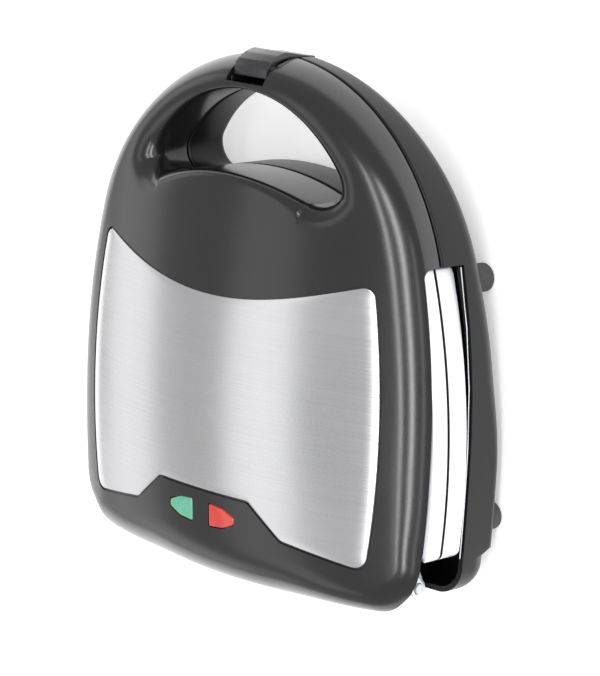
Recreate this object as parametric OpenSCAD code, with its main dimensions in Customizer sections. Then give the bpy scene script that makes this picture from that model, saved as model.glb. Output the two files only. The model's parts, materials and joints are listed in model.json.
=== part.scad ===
/* [Housing] */
// Overall width
body_w = 227; // [222:0.5:232]
// Overall length, from the front of the clip to the rear edge of the lid
body_l = 242; // [238:1:248]
// Height of the lid above the parting seam, at its crown
lid_h = 41; // [40:0.5:46]
// Depth of the base below the parting seam
base_h = 35; // [34:0.5:40]
// Height of the feet
foot_h = 7; // [5:0.5:10]
// Wall of the moulded housings
wall = 2.5; // [2.2:0.1:2.8]
// Gap between the lid and the base along the seam
seam_gap = 1; // [0.8:0.1:1.4]
// How much smaller the radius of the front arch is than half the width
arch_inset = 6.5; // [5:0.5:7.5]
// Radius of the bowed sides, seen from above
side_r = 330; // [310:10:360]
// Radius of the sides behind their widest place
rear_side_r = 1000; // [700:50:1400]
// Radius of the rear corners of the lid, seen from above
lid_corner_r = 28; // [24:1:32]
// Radius of the rear corners of the base, seen from above
base_corner_r = 14; // [12:1:16]
// How far the lid overhangs the rear wall of the base
rear_overhang = 10.5; // [10:0.5:11.5]
// Radius of the lid's crown across its width
cross_crown_r = 252; // [245:1:280]
// Radius of the lid's crown along its length
long_crown_r = 800; // [740:10:1000]
// Distance of the crown's highest point from the rear edge
crown_gap = 83; // [79:1:90]
// How far the face dips below its crown at the front of the handle
front_dip = 7.5; // [5:0.5:9]
// Rounding of the lid's edge at the sides
side_round = 8; // [6:0.5:9]
// Width of the rounding of the lid's edge at the front of the handle
front_round = 11.5; // [8:0.5:12]
// Height of the rounding of the lid's edge at the front of the handle
front_drop = 17; // [12:0.5:18]
// Rounding of the lid's edge at the rear corners
corner_round = 14; // [12:0.5:16]
// Rounding of the lid's edge at the middle of the rear
rear_round = 24; // [18:1:26]
// Rise of the base's underside from the middle to the handle
base_rise = 20; // [17:0.5:21]
// Rounding of the base's lower edge at the handle
base_round = 8; // [6:0.5:8.5]
// Rounding of the base's lower edge beside the front feet
base_side_round = 11; // [8:0.5:12]
// Rounding of the base's lower edge beside the rear feet, where it stands out as a pad
pad_round = 5; // [4:0.5:7]
// Rounding of the base's lower edge at the rear corners, behind the pads
base_corner_round = 14; // [11:0.5:15]
// Distance of the pads' ends from the rear edge of the lid
pad_end_gap = 31; // [28:1:34]

/* [Handle] */
// Width of the handle bar at the front
bar_w = 15; // [14.5:0.5:17]
// How much smaller the radius of the hole's front edge is than the arch's
hole_inset = 38.5; // [37.5:0.5:42]
// Length of the hole from the bar to the ledge, on the middle line
hole_l = 36; // [34:0.5:37]
// Radius of the ledge behind the hole
ledge_r = 140; // [130:5:160]
// Radius of the two ends of the hole
hole_end_r = 9; // [8:0.5:10]
// Flare of the hole's rim in the lid, at the ends
lid_flare = 17; // [13:0.5:18]
// Flare of the hole's rim in the base, at the ends
base_flare = 4; // [3.5:0.5:7]
// Flare of the hole's rim at the bar and at the middle of the ledge
mid_flare = 3.5; // [3:0.5:4]
// Flare of the hole's rim in the lid, at the ends of the ledge
ledge_flare = 7; // [4:0.5:9]
// Thickness of the covers that close the handle
cover_t = 2; // [1.6:0.1:2.4]

/* [Latch] */
// Width of the clip
clip_w = 20.4; // [18:0.4:22]
// Play on each side of the clip in its pocket
clip_play = 1.6; // [1:0.1:1.8]
// How far the clip stands out in front of the handle
clip_bulge = 2; // [1:0.5:3]
// How far the clip reaches below the seam
clip_drop = 11.5; // [11:0.25:12]
// Height of the clip's pin above the seam
clip_pin_h = 13.5; // [13:0.25:14]
// Radius of the clip's pin
clip_pin_r = 1.4; // [1.2:0.1:1.6]

/* [Plates] */
// Distance of the plates' front edge from the front of the handle
plate_setback = 81; // [80:0.5:83]
// Distance of the plates' rear edge from the rear edge of the lid
plate_rear_gap = 30.5; // [29:0.5:32]
// Radius of the plates' bowed side edges
plate_side_r = 315; // [280:5:340]
// Height of the upper plate's bright rim
upper_rim_h = 9.8; // [9:0.1:10.5]
// Depth of the lower plate's bright rim
lower_rim_h = 11.3; // [10.5:0.1:12]
// Thickness of the plates' walls
plate_t = 2.5; // [2:0.1:3]
// Depth of a sandwich pocket in each plate
pocket_depth = 11; // [9:0.5:11.5]
// Flat land between the pockets and the plate's side edges
side_land = 20.5; // [20:0.5:26]
// Flat land between the pockets and the plate's front and rear edges
end_land = 13; // [12.5:0.5:16]
// Width of the sealing ridges between the pockets
ridge_w = 6; // [5:0.5:8]
// Radius of the heating elements' tube
rod_r = 3.2; // [3:0.1:3.5]
// Thickness of the heat shields' sheet
sheet_t = 0.6; // [0.5:0.1:0.8]
// Gap between the lower plate's rim and the edge of its heat shield
sheet_gap = 1.2; // [0.8:0.1:1.5]

/* [Hinge] */
// Distance of the hinge axis from the rear edge of the lid
hinge_inset = 13.5; // [12.5:0.25:13.75]
// Depth of the hinge axis below the seam
hinge_drop = 4; // [3.5:0.25:4.5]
// Radius of the hinge pins
pin_r = 2.4; // [2:0.1:2.8]
// Running clearance of the pins in the plate's lugs
pin_play = 0.05; // [0.02:0.01:0.1]
// Distance of the hinge lugs' outer faces from the sides of the housing
lug_inset = 17.5; // [16.5:0.5:20]
// Width of a hinge lug
lug_w = 9; // [7:0.5:10]
// Outer radius of a hinge lug
lug_r = 4.4; // [4.2:0.1:4.8]

/* [Trim] */
// Thickness of the steel panel on the lid
panel_t = 0.6; // [0.5:0.1:0.7]
// Distance of the steel panel's front corners from the sides of the housing
panel_inset = 27.5; // [26:0.5:32]
// Gap around the steel panel
panel_gap = 0.9; // [0.6:0.1:1.2]
// Distance of the lamp lenses from the rear edge of the lid
lamp_inset = 34.3; // [33:0.1:36]
// Length of a lamp lens
lamp_l = 15.5; // [13:0.5:17]
// Width of a lamp lens
lamp_w = 10.7; // [9:0.1:12]
// Radius of the rubber feet
foot_r = 6.5; // [6:0.5:7]
// Distance of the front feet from the sides of the housing
front_foot_inset = 22.5; // [21:0.5:30]
// Distance of the rear feet from the sides of the housing
rear_foot_inset = 10.5; // [10:0.5:16]
// Bore of the cord gland
cord_r = 3; // [2.6:0.1:3.2]

/* [Hidden] */
$fn = 48;

side_x = body_w / 2;
seam_z = base_h + foot_h;
front_y = clip_bulge - body_l / 2;
rear_y = body_l / 2;
base_rear_y = rear_y - rear_overhang;
crown_y = rear_y - crown_gap;
seat_gap = 0.05;
half_gap = seam_gap / 2;

// Centres of the arcs that make the outlines, each tangent to the next
arch_r = side_x - arch_inset;
arch_cy = front_y + arch_r;
side_cx = side_x - side_r;
side_cy = arch_cy + sqrt(pow(side_r - arch_r, 2) - pow(side_cx, 2));
rear_side_cx = side_x - rear_side_r;
lid_rear_r = 1200;
base_rear_r = 6000;

// Front and rear of the plates and of the sandwich pockets in them
plate_y = [front_y + plate_setback, rear_y - plate_rear_gap];
pocket_w = side_x - ridge_w / 2 - side_land;
pocket_l = plate_y[1] - plate_y[0] - 2 * end_land;
pocket_c = [(pocket_w + ridge_w) / 2, (plate_y[0] + plate_y[1]) / 2];

// Points around one half of the handle hole: front edge, end and ledge
EDGE_N = 12;
END_N = 8;
LEDGE_N = 12;
// Points around one half of an outline after those that face the hole's front edge:
// the rest of the arch, bowed side, rear side, corner and rear edge, as many as the hole has
ARCH_N = 4;
SIDE_N = 3;
REAR_SIDE_N = 4;
CORNER_N = 5;
REAR_N = 4;

function along(a, b, n) = [for (k = [0:n - 1]) a + (b - a) * k / n];
function dir(a) = [cos(a), sin(a)];
function angle_to(a, b) = atan2(b.y - a.y, b.x - a.x);
function clamp(x) = min(1, max(0, x));
function mix(a, b, t) = a + (b - a) * t;
function smooth(t) = let (c = clamp(t)) c * c * (3 - 2 * c);
function mirrored(p) = [-p.x, p.y];
function reversed(v) = [for (i = [len(v) - 1:-1:0]) v[i]];
// Where two circles cross, on the +X side when the first lies nearer the rear
function crossing(c1, r1, c2, r2) =
    let (d = norm(c2 - c1), e = (c2 - c1) / d, a = (d * d + r1 * r1 - r2 * r2) / (2 * d))
    c1 + e * a + [-e.y, e.x] * sqrt(r1 * r1 - a * a);

// Half of the handle hole, from the middle of the bar round the end to the middle of the ledge.
// Each point is [centre, radius, angle, which way is into the wall]
hole_r = arch_r - hole_inset;
edge_c = [0, front_y + bar_w + hole_r];
ledge_c = [0, front_y + bar_w + hole_l + ledge_r];
end_c = crossing(ledge_c, ledge_r + hole_end_r, edge_c, hole_r - hole_end_r);
edge_end = angle_to(edge_c, end_c);
ledge_end = angle_to(end_c, ledge_c);
function half_hole() = concat(
    [for (a = along(-90, edge_end, EDGE_N)) [edge_c, hole_r, a, 1]],
    [for (a = along(edge_end, ledge_end, END_N)) [end_c, hole_end_r, a, 1]],
    [for (a = along(ledge_end - 180, -90, LEDGE_N)) [ledge_c, ledge_r, a, -1]],
    [[ledge_c, ledge_r, -90, -1]]
);
// Half of an outline, front to rear. The arch's first points lie straight in front of the hole's.
function half_outline(rear, corner, rear_r) =
    let (
        arch_c = [0, arch_cy],
        side_c = [side_cx, side_cy],
        back_c = [rear_side_cx, side_cy],
        rear_c = [0, rear - rear_r],
        corner_c = crossing(back_c, rear_side_r - corner, rear_c, rear_r - corner),
        a1 = angle_to(side_c, arch_c),
        a2 = angle_to(back_c, corner_c),
        a3 = angle_to(rear_c, corner_c),
        facing = function (a) angle_to(arch_c, edge_c + hole_r * dir(a))
    )
    concat(
        [for (a = along(-90, edge_end, EDGE_N)) [arch_c, arch_r, facing(a), -1]],
        [for (a = along(facing(edge_end), a1, ARCH_N)) [arch_c, arch_r, a, -1]],
        [for (a = along(a1, 0, SIDE_N)) [side_c, side_r, a, -1]],
        [for (a = along(0, a2, REAR_SIDE_N)) [back_c, rear_side_r, a, -1]],
        [for (a = along(a2, a3, CORNER_N)) [corner_c, corner, a, -1]],
        [for (a = along(a3, 90, REAR_N)) [rear_c, rear_r, a, -1]],
        [[rear_c, rear_r, 90, -1]]
    );
// The place of an outline point, moved a distance into the wall
function place(o, d = 0) = o[0] + (o[1] + o[3] * d) * dir(o[2]);
// A closed ring of places from half an outline; each point may have a distance of its own
function ring(half, d) =
    let (n = len(half) - 1, h = [for (i = [0:n]) place(half[i], is_list(d) ? d[i] : d)])
    concat(h, [for (i = [n - 1:-1:1]) mirrored(h[i])]);
// A closed list made of one value for each point of half an outline
function whole(values) =
    let (n = len(values) - 1) concat(values, [for (i = [n - 1:-1:1]) values[i]]);

// Height of the lid's face: a revolved arc with a crown both ways, which dips towards the handle
dip_y = front_y + 79;
function sag(r, x) = r - sqrt(r * r - x * x);
function face_z(p) =
    let (spin_r = long_crown_r - sag(cross_crown_r, p.x))
    seam_z + lid_h - long_crown_r + sqrt(spin_r * spin_r - pow(p.y - crown_y, 2))
        - front_dip * pow(clamp((dip_y - p.y) / (dip_y - front_y)), 2);
// Height of the base's underside, which rises towards the handle
rise_y = front_y + 151;
function floor_z(p) =
    foot_h + base_rise * pow(clamp((rise_y - p.y) / (rise_y - front_y)), 1.5);

lid_half = half_outline(rear_y, lid_corner_r, lid_rear_r);
base_half = half_outline(base_rear_y, base_corner_r, base_rear_r);
hole_half = half_hole();
hole_hw = end_c.x + hole_end_r;
// The flare grows along the bar to the ends of the hole, fades round them to the ends of the ledge
// and on to its middle, and never meets the rounding of the outer edge
function flares(end, ledge, edge) = [for (i = [0:len(hole_half) - 1])
    let (
        p = place(hole_half[i]),
        room = arch_r - norm(p - [0, arch_cy]) - edge - 0.5,
        t = pow(clamp(p.x / hole_hw), 2),
        f = i < EDGE_N ? mix(mid_flare, end, t)
            : i < EDGE_N + END_N ? mix(end, ledge, smooth((i - EDGE_N) / END_N - 0.1))
            : mix(mid_flare, ledge, t),
        w = min(room, f)
    ) [w, w]];
// The rounding of the lid's edge runs from the handle to the sides, the corners and the rear
function lid_round(p) = p.y < 0
    ? mix(front_round, side_round, smooth((p.y - front_y - 30) / 50))
    : p.y < rear_y - lid_corner_r
    ? mix(side_round, corner_round, smooth((p.y - rear_y + 60) / 50))
    : mix(corner_round, rear_round, smooth((side_x - 18.5 - p.x) / 60));
function lid_drop(p) = p.y < 0
    ? mix(front_drop, side_round, smooth((p.y - front_y - 10) / 60))
    : lid_round(p);
lid_rounds = [for (o = lid_half)
    let (p = place(o), room = face_z(p) - seam_z - 1.5)
    [min(room, lid_round(p)), min(room, lid_drop(p))]];
// The rounding of the base's edge is tighter along the pads of the rear feet and ends them in a step
pad_start = front_y + 129;
pad_end = rear_y - pad_end_gap;
function base_round_at(p) = p.y < pad_start
    ? mix(base_round, base_side_round, smooth((p.y - front_y - 39) / 50))
    : p.y < pad_end
    ? mix(base_side_round, pad_round, smooth((p.y - pad_start) / 45))
    : mix(base_corner_round, base_round, smooth((side_x - 18.5 - p.x) / 40));
base_rounds = [for (o = base_half) let (r = base_round_at(place(o))) [r, r]];
OUTER_SPANS = [0.14, 0.28, 0.42, 0.57, 0.72, 0.86];
INNER_SPANS = [0.33, 0.67];

// One skin of a housing half: rings of [x, y, z] from the rim over the outer edge to the hole's rim.
// rounds and flare give the [width, height] of the roundings, inset moves the skin into the wall
function skin(half, rounds, flare, up, inset, arcs, spans, rim_z) =
    let (
        height = function (p) up > 0 ? face_z(p) - inset : floor_z(p) + inset,
        band = function (h, rs, t)
            let (ps = ring(h, [for (r = rs) r[0] - (r[0] - inset) * cos(t)]), rw = whole(rs))
            [for (i = [0:len(ps) - 1])
                [ps[i].x, ps[i].y, height(ps[i]) - up * (rw[i][1] - inset) * (1 - sin(t))]],
        a = band(half, rounds, 90),
        b = band(hole_half, flare, 90)
    )
    concat(
        [[for (p = ring(half, inset)) [p.x, p.y, rim_z]]],
        [for (k = [0:arcs]) band(half, rounds, 90 * k / arcs)],
        [for (s = spans) [for (i = [0:len(a) - 1])
            let (p = mix(a[i], b[i], s)) [p.x, p.y, height(p)]]],
        [for (k = [0:arcs]) band(hole_half, flare, 90 - 90 * k / arcs)],
        [[for (p = ring(hole_half, inset)) [p.x, p.y, rim_z]]]
    );
// A closed wall between an outer and an inner skin, as one ring-shaped solid
module wall_between(outer, inner, flip) {
    rings = concat(outer, reversed(inner));
    m = len(rings);
    n = len(rings[0]);
    faces = [for (j = [0:m - 1], i = [0:n - 1])
        let (
            a = j * n + i,
            b = j * n + (i + 1) % n,
            c = ((j + 1) % m) * n + (i + 1) % n,
            d = ((j + 1) % m) * n + i
        )
        each flip ? [[a, c, b], [a, d, c]] : [[a, b, c], [a, c, d]]];
    polyhedron([for (r = rings) each r], faces, convexity = 8);
}
module housing(half, rounds, flare, up) {
    rim_z = seam_z + up * half_gap;
    wall_between(
        skin(half, rounds, flare, up, 0, 4, OUTER_SPANS, rim_z),
        skin(half, rounds, flare, up, wall, 2, INNER_SPANS, rim_z),
        up > 0
    );
}

// Places a child at the seam, with +Z pointing away from the seam into the lid or into the base
module above_seam() { translate([0, 0, seam_z]) children(); }
module below_seam() { translate([0, 0, seam_z]) mirror([0, 0, 1]) children(); }
module both_sides() {
    children();
    mirror([1, 0, 0]) children();
}
// Extrudes a profile drawn as [y, height above the seam] along X, from x1 to x2
module across(x1, x2) {
    translate([x1, 0, seam_z]) rotate([90, 0, 90]) linear_extrude(x2 - x1) children();
}
// A bar along X, at a place [y, height above the seam]
module bar_x(x1, x2, at, r) {
    translate([x1, at.x, seam_z + at.y]) rotate([0, 90, 0]) cylinder(r = r, h = x2 - x1);
}
// An upright post between two heights
module post(at, z1, z2, r) { translate([at.x, at.y, z1]) cylinder(r = r, h = z2 - z1); }
module span(lo, hi) { translate(lo) cube(hi - lo); }

// Points of an arc that rounds corner b between its neighbours a and c; radius 0 keeps the corner
function corner_arc(a, b, c, r, n) = r == 0 ? [b] :
    let (
        u = (a - b) / norm(a - b),
        v = (c - b) / norm(c - b),
        half = acos(u * v) / 2,
        m = b + (u + v) / norm(u + v) * r / sin(half),
        s = angle_to(m, b + u * r / tan(half)),
        turn = ((angle_to(m, b + v * r / tan(half)) - s + 540) % 360) - 180
    )
    [for (k = [0:n]) m + r * dir(s + turn * k / n)];
// A polygon with each corner moved outwards, so that its edges move by d
function grown(ps, d) =
    let (m = len(ps))
    [for (i = [0:m - 1])
        let (
            a = ps[i] - ps[(i + m - 1) % m],
            b = ps[(i + 1) % m] - ps[i],
            u = [a.y, -a.x] / norm(a),
            v = [b.y, -b.x] / norm(b)
        )
        ps[i] + (u + v) * d / (1 + u * v)];
function rounded(ps, r, n = 4) =
    let (m = len(ps))
    [for (i = [0:m - 1])
        each corner_arc(ps[(i + m - 1) % m], ps[i], ps[(i + 1) % m], is_list(r) ? r[i] : r, n)];

// The solid below the crowned part of the lid's face, a true surface of revolution, lowered by d
face_sweep = 28;
face_depth = 60;
module under_face(d) {
    translate([0, crown_y, seam_z + lid_h - long_crown_r])
        rotate([0, -90, 0]) rotate([0, 0, -face_sweep / 2])
        rotate_extrude(angle = face_sweep, $fn = 720) intersection() {
            translate([long_crown_r - cross_crown_r, 0]) circle(r = cross_crown_r - d, $fn = 360);
            translate([long_crown_r - face_depth, -side_x]) square([face_depth + 10, body_w]);
        }
}

// Steel panel: a curved front edge, bowed sides and a notch for the lamps at the rear
panel_hw = side_x - panel_inset;
panel_rear = rear_y - 24.4;
panel_front_y = front_y + 105.1;
panel_bow = 7;
panel_half_l = 68;
notch_hw = 28.9;
notch_y = rear_y - 45.6;
notch_low = [47, rear_y - 30.8];
side_ys = along(front_y + 107, rear_y - 25, 6);
function panel_x(y) = panel_hw + panel_bow * (1 - pow((y - crown_y) / panel_half_l, 2));
function panel_front(x) = panel_front_y - 0.00267 * x * x + 2.8 * pow(x / 81, 4);
PANEL_HALF = concat(
    [for (k = [0:6]) let (x = 8 + (panel_hw - 14) * k / 6) [x, panel_front(x), 0]],
    [[panel_hw, panel_front(panel_hw), 5]],
    [for (y = side_ys) [panel_x(y), y, 0]],
    [[panel_x(panel_rear), panel_rear, 6], [notch_low.x, notch_low.y, 6], [notch_hw, notch_y, 5]]
);
PANEL = concat(PANEL_HALF, [for (p = reversed(PANEL_HALF)) [-p.x, p.y, p.z]]);
PANEL_EDGE = rounded([for (p = PANEL) [p.x, p.y]], [for (p = PANEL) p.z]);
face_top = seam_z + lid_h + 1;
seat_play = 0.15;
module steel_panel() color("#c9cacc") {
    intersection() {
        linear_extrude(face_top) polygon(PANEL_EDGE);
        difference() {
            under_face(0);
            under_face(panel_t);
        }
    }
}
module panel_recess() {
    difference() {
        linear_extrude(face_top) polygon(grown(PANEL_EDGE, panel_gap));
        under_face(panel_t + seat_play);
    }
}

// Lamp lenses: D-shaped, straight towards the middle and tapering to a round tip
lamp_y = rear_y - lamp_inset;
lens_x = 5.5;
lens_top = 0.4;
lens_play = 0.15;
lens_mid = lens_x + lamp_l * 0.55;
lens_end = lens_x + lamp_l;
LENS = [
    [lens_x, -lamp_w / 2, 1], [lens_mid, 0.8 - lamp_w / 2, 5], [lens_end, -1.6, 1.5],
    [lens_end, 1.6, 1.5], [lens_mid, lamp_w / 2 - 0.8, 5], [lens_x, lamp_w / 2, 1]
];
LENS_EDGE = rounded([for (p = LENS) [p.x, lamp_y + p.y]], [for (p = LENS) p.z]);
lens_foot = 5.8;
lens_z = seam_z + lid_h - lens_foot;
lens_tilt = asin((lamp_y - crown_y) / long_crown_r);
// Over the width of a lens the long curve of the face is nearly straight, so the top is a barrel
module lens() {
    intersection() {
        translate([0, 0, lens_z]) linear_extrude(lens_foot + 1) polygon(LENS_EDGE);
        translate([0, crown_y, seam_z + lid_h - long_crown_r]) rotate([-lens_tilt, 0, 0])
            translate([0, 0, long_crown_r - cross_crown_r]) rotate([90, 0, 0])
            cylinder(r = cross_crown_r + lens_top, h = 2 * lamp_w, center = true, $fn = 360);
    }
}
module green_lamp_lens() color("#5fae8c") lens();
module red_lamp_lens() color("#d8453c") mirror([1, 0, 0]) lens();
// Holder under the lenses: a plate with two wells for the lamps
holder_z = lens_z - seat_gap;
holder_t = 2;
holder_hw = 24;
well_x = [lens_x + 1, lens_end - 1.5];
well_hl = 4;
well_depth = 6;
well_floor = 1.2;
well_wall = 1.5;
neon_r = 1.9;
neon_l = 8;
module lamp_holder() color("#e9e6dc") {
    difference() {
        union() {
            span([-holder_hw, lamp_y - 7, holder_z - holder_t], [holder_hw, lamp_y + 7, holder_z]);
            span([-well_x[1] - well_wall, lamp_y - well_hl - well_wall, holder_z - well_depth],
                [well_x[1] + well_wall, lamp_y + well_hl + well_wall, holder_z - 1]);
        }
        both_sides() span([well_x[0], lamp_y - well_hl, holder_z - well_depth + well_floor],
            [well_x[1], lamp_y + well_hl, holder_z + 1]);
    }
}
module neon_lamps() color("#e8b070") {
    z = holder_z - well_depth + well_floor + neon_r + seat_gap;
    both_sides() translate([well_x[0] + 1.5, lamp_y, z]) rotate([0, 90, 0]) {
        cylinder(r = neon_r, h = neon_l);
        translate([0, 0, neon_l]) rotate_extrude() intersection() {
            circle(r = neon_r);
            square(neon_r);
        }
    }
}

// Countersunk screws that hold the handle covers and the plates, and their posts in the housings
screw_r = 1.5;
screw_play = 0.05;
screw_l = 9;
head_r = 2.8;
head_rim = 0.3;
head_cone = 1.3;
head_z = half_gap + 0.05;
head_play = 0.1;
post_r = 3.8;
post_gap = 0.4;
shoulder_r = 6;
post_skin = 1.3;
pilot = 12;
rim_t = 2;
cover_clear = 1;
cover_spot = [hole_hw + wall + cover_clear + 4, front_y + 48];
plate_spots = [
    [0, plate_y[0] + rim_t + post_gap + post_r],
    [-pocket_c.x - 2, plate_y[1] - rim_t - post_gap - post_r],
    [pocket_c.x + 2, plate_y[1] - rim_t - post_gap - post_r]
];
module screw() {
    rotate_extrude() polygon([
        [0, 0], [head_r, 0], [head_r, head_rim], [screw_r, head_rim + head_cone],
        [screw_r, screw_l], [0, screw_l + screw_r]
    ]);
}
// The hole for a screw in a cover or a plate, with room for its head
module screw_hole(depth) {
    cylinder(r = screw_r + 0.25, h = depth);
    translate([0, 0, -1]) cylinder(r = head_r + head_play, h = head_z + head_rim + 1 + head_play);
    translate([0, 0, head_z + head_rim + head_play])
        cylinder(r1 = head_r + head_play, r2 = screw_r + head_play, h = head_cone);
}
module screws() {
    both_sides() translate([cover_spot.x, cover_spot.y, head_z]) screw();
    for (at = plate_spots) translate([at.x, at.y, head_z]) screw();
}
module lid_screws() color("#a9abae") above_seam() screws();
module base_screws() color("#a9abae") below_seam() screws();

// Height of the heat shields over the seam: clear of the heater in the lid, of the thermostat in the base
back_h = half_gap + pocket_depth + plate_t;
rod_h = back_h + rod_r + seat_gap;
stat_h = 8.6;
lid_shield_h = rod_h + rod_r + 1;
base_shield_h = back_h + stat_h + 1.4;
// A post for a plate screw, with a shoulder that seats the heat shield; tall is its height over the seam
module plate_post(at, tall, shield_h) {
    difference() {
        union() {
            post(at, half_gap + plate_t + seat_gap, tall, post_r);
            post(at, shield_h + sheet_t + seat_gap, tall, shoulder_r);
        }
        post(at, 0, pilot, screw_r + screw_play);
    }
}
module cover_post(at, tall) {
    difference() {
        post(at, half_gap + cover_t + seat_gap, tall, post_r);
        post(at, 0, pilot, screw_r + screw_play);
    }
}

// Clip: pivots on a pin in the front of the lid and hooks its nose under a rib of the base.
// Its points are [distance behind the front, height over the seam]
clip_pin = [front_y + 5.6, clip_pin_h];
clip_hub = 1.6;
pocket_hw = clip_w / 2 + clip_play;
pocket_deep = 12;
cheek_t = 2.2;
nose_h = -9.4;
hook = 5.6;
CLIP = [
    [9.6, 18.3], [5.6, 18.5], [2.2, 16.2], [-0.5, 12.2], [-clip_bulge, 7], [0.8 - clip_bulge, 2],
    [0, -5], [0.6, -clip_drop], [2.4, -clip_drop],
    [hook, nose_h - 1.6], [hook, nose_h], [3.4, nose_h],
    [2.9, -5], [2, 1], [1.2, 7], [2.6, 11.5], [5, 15], [7, 16], [9.6, 16.2]
];
module latch_clip() color("#2e2e30") {
    difference() {
        union() {
            across(-clip_w / 2, clip_w / 2) translate([front_y, 0]) polygon(rounded(CLIP, 0.5, 2));
            bar_x(-clip_w / 2, clip_w / 2, clip_pin, clip_pin_r + clip_hub);
        }
        bar_x(-clip_w, clip_w, clip_pin, clip_pin_r + pin_play);
    }
}
pin_seat = 1.8;
module latch_pin() color("#b9babd") {
    bar_x(-pocket_hw - pin_seat, pocket_hw + pin_seat, clip_pin, clip_pin_r);
}

// The opening in the lid's side that shows the bright rim of the plate
window_x = side_x - 38.5;
rim_front_r = 3.5;
rim_rear_r = 3;
window_gap = 0.5;
window_r = rim_front_r + window_gap;
module lid_window() {
    y0 = plate_y[0] - window_gap;
    top = upper_rim_h + window_gap;
    both_sides() across(window_x, body_w) polygon(rounded(
        [[y0, -5], [y0, top], [body_l, top], [body_l, -5]], [0, window_r, 0, 0], 6
    ));
}
// A side wall of the clip's pocket, which also carries the clip's pin
CHEEK = [[1.5, half_gap], [1.5, 9], [3, 13.5], [6, 16.6], [10, 18.4], [13.5, 18.4], [13.5, half_gap]];
module lid_shell() color("#454547") {
    difference() {
        union() {
            difference() {
                housing(lid_half, lid_rounds, flares(lid_flare, ledge_flare, front_round), 1);
                panel_recess();
                lid_window();
                span([-pocket_hw, front_y - 10, seam_z - 5],
                    [pocket_hw, front_y + pocket_deep, seam_z + lid_h]);
                both_sides() linear_extrude(face_top) polygon(grown(LENS_EDGE, lens_play));
            }
            both_sides() across(pocket_hw, pocket_hw + cheek_t) translate([front_y, 0]) polygon(CHEEK);
            above_seam() both_sides() cover_post(cover_spot, face_z(cover_spot) - seam_z - post_skin);
            // The tops of the plate's posts follow the face and stay below the panel's recess
            intersection() {
                above_seam() for (at = plate_spots) plate_post(at, lid_h, lid_shield_h);
                under_face(post_skin);
            }
        }
        bar_x(-pocket_hw - pin_seat - 0.05, pocket_hw + pin_seat + 0.05, clip_pin, clip_pin_r + screw_play / 2);
    }
}

// Covers that close the hollow handle along the seam
module cover(half, notch) {
    notch_hw = pocket_hw + cheek_t + 0.3;
    difference() {
        translate([0, 0, half_gap]) linear_extrude(cover_t) difference() {
            polygon(ring(half, wall + cover_clear));
            polygon(ring(hole_half, wall + cover_clear));
            translate([-body_w, plate_y[0] - 1]) square([2 * body_w, body_l]);
            translate([-notch_hw, front_y]) square([2 * notch_hw, notch]);
        }
        both_sides() translate([cover_spot.x, cover_spot.y, 0]) screw_hole(cover_t + 1);
    }
}
module lid_handle_cover() color("#3a3a3c") above_seam() cover(lid_half, 14);
module base_handle_cover() color("#3a3a3c") below_seam() cover(base_half, 10);

// Cooking plate, drawn with its face at the seam and its back upwards
draft = 9;
plate_corner_r = 4;
// One of the two triangles of a sandwich, i inside its edges
function triangle(c, s, i) =
    let (
        w = pocket_w / 2,
        l = pocket_l / 2,
        k = (ridge_w / 2 + i) * norm([w, l])
    )
    rounded([for (p = [[i - w, l - i], [i - w, (k - (w - i) * l) / w], [((l - i) * w - k) / l, l - i]]) c + s * p],
        [6, 4, 4], 3);
module pocket(c, s, grow, top, depth) {
    levels = [[0, top], [draft * 0.3, depth * 0.5], [draft * 0.6, depth * 0.85], [draft, depth]];
    rings = [for (v = levels) [for (p = triangle(c, s, v[0] - grow)) [p.x, p.y, half_gap + v[1]]]];
    n = len(rings[0]);
    m = len(rings);
    polyhedron(
        [for (r = rings) each r],
        concat(
            [[for (i = [0:n - 1]) i]],
            [[for (i = [n - 1:-1:0]) (m - 1) * n + i]],
            [for (j = [0:m - 2], i = [0:n - 1]) [j * n + i, (j + 1) * n + i, (j + 1) * n + (i + 1) % n]],
            [for (j = [0:m - 2], i = [0:n - 1]) [j * n + i, (j + 1) * n + (i + 1) % n, j * n + (i + 1) % n]]
        ),
        convexity = 4
    );
}
// The plate's outline: front edge, bowed sides flush with the housing, rear edge with rounded corners
plate_side_y = rear_y - 65;
function plate_x(y) = side_x - sag(plate_side_r, y - plate_side_y);
function plate_edge(inset) =
    let (
        front = plate_y[0] + inset,
        rear = plate_y[1] - inset,
        side = [for (y = along(front, rear, 10)) [plate_x(y) - inset, y]],
        half = concat(side, [[plate_x(rear) - inset, rear]]),
        r = concat([plate_corner_r / 2], [for (i = [1:len(side) - 1]) 0], [plate_corner_r])
    )
    rounded(concat(half, [for (p = reversed(half)) mirrored(p)]), concat(r, reversed(r)));
module plate(rim_h) {
    difference() {
        union() {
            translate([0, 0, half_gap]) linear_extrude(plate_t) polygon(plate_edge(0));
            intersection() {
                translate([0, 0, half_gap]) linear_extrude(rim_h - half_gap) difference() {
                    polygon(plate_edge(0));
                    polygon(plate_edge(rim_t));
                }
                translate([-body_w, 0, 0]) rotate([90, 0, 90]) linear_extrude(2 * body_w) polygon(rounded(
                    [[plate_y[0], 0], [plate_y[1], 0], [plate_y[1], rim_h], [plate_y[0], rim_h]],
                    [0, 0, rim_rear_r, rim_front_r], 6
                ));
            }
            both_sides() for (s = [-1, 1]) pocket(pocket_c, s, plate_t, half_gap, pocket_depth + plate_t);
        }
        both_sides() for (s = [-1, 1]) pocket(pocket_c, s, 0, -1, pocket_depth);
        for (at = plate_spots) translate([at.x, at.y, 0]) screw_hole(plate_t + 1);
    }
}
hinge_y = rear_y - hinge_inset;
hinge_at = [hinge_y, -hinge_drop];
lug_x = [side_x - lug_inset - lug_w, side_x - lug_inset];
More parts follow.
